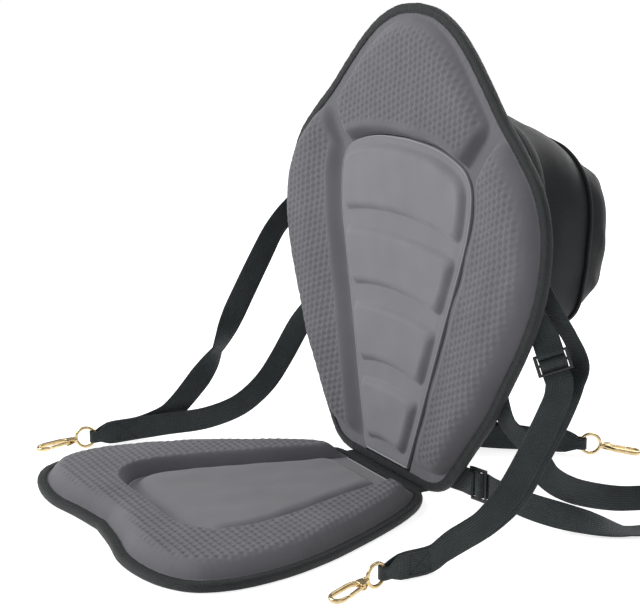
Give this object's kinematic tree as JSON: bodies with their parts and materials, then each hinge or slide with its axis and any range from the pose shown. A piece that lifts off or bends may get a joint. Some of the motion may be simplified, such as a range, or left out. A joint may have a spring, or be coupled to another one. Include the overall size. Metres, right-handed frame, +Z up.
{
  "type": "kayak seat",
  "caption": "Padded kayak seat: moulded seat pan and tall backrest on a sewn hinge, with a rear zip bag and webbing straps ending in snap hooks.",
  "frame": {"origin": "on the underside of the seat pan, midway across and midway between its front and rear edges, where it rests", "axes": "+Z up; -Y is the way the sitter faces; +X is the sitter's left"},
  "size_m": [0.5758, 0.6776, 0.5101],
  "materials": {
    "grey_fabric": "matt woven fabric over moulded foam",
    "dark_fabric": "matt coated woven fabric",
    "webbing_black": "woven synthetic webbing",
    "brass": "cast and tumbled",
    "steel": "satin",
    "plastic_black": "moulded"
  },
  "bodies": {
    "seat": {"seat_board": "dark_fabric", "seat_binding": "webbing_black", "seat_pad": "grey_fabric", "seat_centre_pad": "grey_fabric", "hinge_strip": "dark_fabric", "strap_front_left": "webbing_black", "strap_front_right": "webbing_black", "strap_rear_left": "webbing_black", "strap_rear_right": "webbing_black"},
    "backrest": {"back_board": "dark_fabric", "back_binding": "webbing_black", "back_pad": "grey_fabric", "back_centre_panel": "grey_fabric", "rear_bag": "dark_fabric", "bag_piping": "dark_fabric", "zip_tape": "webbing_black", "slide_front_left": "plastic_black", "slide_front_right": "plastic_black", "slide_rear_left": "plastic_black", "slide_rear_right": "plastic_black", "slide_tab_front_left": "webbing_black", "slide_tab_front_right": "webbing_black", "slide_tab_rear_left": "webbing_black", "slide_tab_rear_right": "webbing_black"},
    "hook_front_left": {"snap_hook_front_left": "brass", "gate_pin_front_left": "steel"},
    "gate_front_left": {"hook_gate_front_left": "brass"},
    "hook_front_right": {"snap_hook_front_right": "brass", "gate_pin_front_right": "steel"},
    "gate_front_right": {"hook_gate_front_right": "brass"},
    "hook_rear_left": {"snap_hook_rear_left": "brass", "gate_pin_rear_left": "steel"},
    "gate_rear_left": {"hook_gate_rear_left": "brass"},
    "hook_rear_right": {"snap_hook_rear_right": "brass", "gate_pin_rear_right": "steel"},
    "gate_rear_right": {"hook_gate_rear_right": "brass"},
    "zip": {"zip_slider": "steel"},
    "zip_pull": {"zip_pull": "steel"}
  },
  "joints": [
    {"name": "backrest_hinge", "type": "hinge", "parent": "seat", "child": "backrest", "pos_m": [0, 0.178, 0.0102], "axis": [1, 0, 0], "range_deg": [-40, 45], "deforming": ["hinge_strip", "strap_front_left", "strap_front_right", "strap_rear_left", "strap_rear_right"]},
    {"name": "hook_swing_front_left", "type": "hinge", "parent": "seat", "child": "hook_front_left", "pos_m": [0.2585, 0.0185, 0.013], "axis": [0, 0, 1], "range_deg": [-40, 40]},
    {"name": "gate_front_left", "type": "hinge", "parent": "hook_front_left", "child": "gate_front_left", "pos_m": [0.27074, -0.01026, 0.00945], "axis": [0.0385, -0.1605, 0.9863], "range_deg": [-22, 0], "stiffness_Nm_per_rad": 0.01, "springref_deg": 5.73},
    {"name": "hook_swing_front_right", "type": "hinge", "parent": "seat", "child": "hook_front_right", "pos_m": [-0.2487, -0.0645, 0.013], "axis": [0, 0, 1], "range_deg": [-40, 40]},
    {"name": "gate_front_right", "type": "hinge", "parent": "hook_front_right", "child": "gate_front_right", "pos_m": [-0.25076, -0.09569, 0.00945], "axis": [-0.0381, -0.1606, 0.9863], "range_deg": [-22, 0], "stiffness_Nm_per_rad": 0.01, "springref_deg": 5.73},
    {"name": "hook_swing_rear_left", "type": "hinge", "parent": "seat", "child": "hook_rear_left", "pos_m": [0.272, 0.44, 0.013], "axis": [0, 0, 1], "range_deg": [-40, 40]},
    {"name": "gate_rear_left", "type": "hinge", "parent": "hook_rear_left", "child": "gate_rear_left", "pos_m": [0.27956, 0.47033, 0.00945], "axis": [0.066, 0.1513, 0.9863], "range_deg": [-22, 0], "stiffness_Nm_per_rad": 0.01, "springref_deg": 5.73},
    {"name": "hook_swing_rear_right", "type": "hinge", "parent": "seat", "child": "hook_rear_right", "pos_m": [0.0437, 0.4108, 0.013], "axis": [0, 0, 1], "range_deg": [-40, 40]},
    {"name": "gate_rear_right", "type": "hinge", "parent": "hook_rear_right", "child": "gate_rear_right", "pos_m": [0.05596, 0.43955, 0.00945], "axis": [0.0891, 0.1389, 0.9863], "range_deg": [-22, 0], "stiffness_Nm_per_rad": 0.01, "springref_deg": 5.73},
    {"name": "zip_travel", "type": "slide", "parent": "backrest", "child": "zip", "axis": [0.024, 0.061, 0.9978], "range_m": [-0.018, 0.026]},
    {"name": "zip_pull_turn", "type": "hinge", "parent": "zip", "child": "zip_pull", "pos_m": [0.18338, 0.23612, 0.23474], "axis": [0, -0.9981, 0.0611], "range_deg": [0, 150]}
  ]
}
